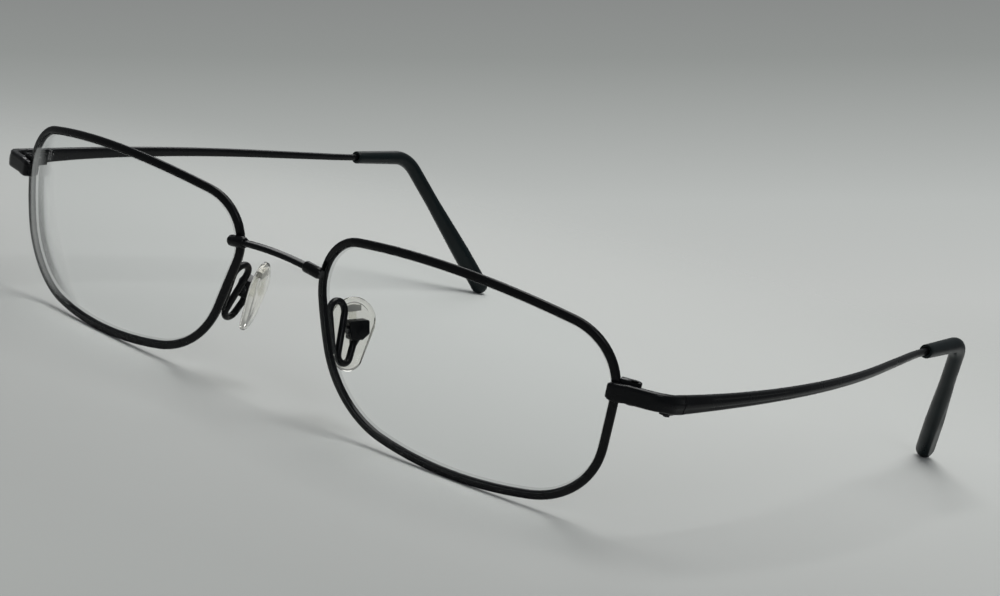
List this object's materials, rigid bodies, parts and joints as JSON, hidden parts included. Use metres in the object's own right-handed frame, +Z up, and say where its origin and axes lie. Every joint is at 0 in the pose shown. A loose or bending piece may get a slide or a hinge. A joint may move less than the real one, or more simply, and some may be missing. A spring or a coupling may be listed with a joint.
{
  "type": "rectangular eyeglasses",
  "caption": "Rectangular full-rim wire eyeglasses with curved clear lenses, an arched bridge, gooseneck nose pads and folding temples with covered tips",
  "frame": {"origin": "on the table, under the middle of the bounding box", "axes": "+Z up, the lenses face -Y, the wearer's left is +X"},
  "size_m": [0.1468, 0.1391, 0.033],
  "materials": {
    "frame": "gloss black plating and lacquer on drawn metal",
    "steel": "dark turned screws",
    "tip": "smooth blue-black acetate sleeve",
    "lens": "clear polished lens",
    "pad": "clear soft silicone with a faint warm tint",
    "core": "smoky hard plastic core"
  },
  "bodies": {
    "front": {"rim_left": "frame", "rim_right": "frame", "lens_left": "lens", "lens_right": "lens", "lock_upper_left": "frame", "lock_upper_right": "frame", "lock_lower_left": "frame", "lock_lower_right": "frame", "lock_screw_left": "steel", "lock_screw_right": "steel", "bridge_bar": "frame", "bridge_collar_left": "frame", "bridge_collar_right": "frame", "end_piece_left": "frame", "end_piece_right": "frame", "hinge_front_left": "frame", "hinge_front_right": "frame", "hinge_screw_left": "steel", "hinge_screw_right": "steel", "pad_arm_left": "frame", "pad_arm_right": "frame", "pad_box_left": "frame", "pad_box_right": "frame", "pad_screw_left": "steel", "pad_screw_right": "steel"},
    "temple_left": {"hinge_temple_left": "frame", "temple_left": "frame", "temple_tip_left": "tip"},
    "temple_right": {"hinge_temple_right": "frame", "temple_right": "frame", "temple_tip_right": "tip"},
    "pad_left": {"pad_insert_left": "core", "nose_pad_left": "pad"},
    "pad_right": {"pad_insert_right": "core", "nose_pad_right": "pad"}
  },
  "joints": [
    {"name": "temple_left_fold", "type": "hinge", "parent": "front", "child": "temple_left", "pos_m": [0.06868, -0.05585, 0.02207], "axis": [0, -0.0436, 0.999], "range_deg": [0, 84]},
    {"name": "temple_right_fold", "type": "hinge", "parent": "front", "child": "temple_right", "pos_m": [-0.06868, -0.05585, 0.02207], "axis": [0, 0.0436, -0.999], "range_deg": [0, 75]},
    {"name": "pad_left_rock", "type": "hinge", "parent": "front", "child": "pad_left", "pos_m": [0.012, -0.05854, 0.01565], "axis": [0.4067, 0.8939, 0.1884], "range_deg": [-8, 8]},
    {"name": "pad_right_rock", "type": "hinge", "parent": "front", "child": "pad_right", "pos_m": [-0.012, -0.05854, 0.01565], "axis": [0.4067, -0.8939, -0.1884], "range_deg": [-8, 8]}
  ]
}
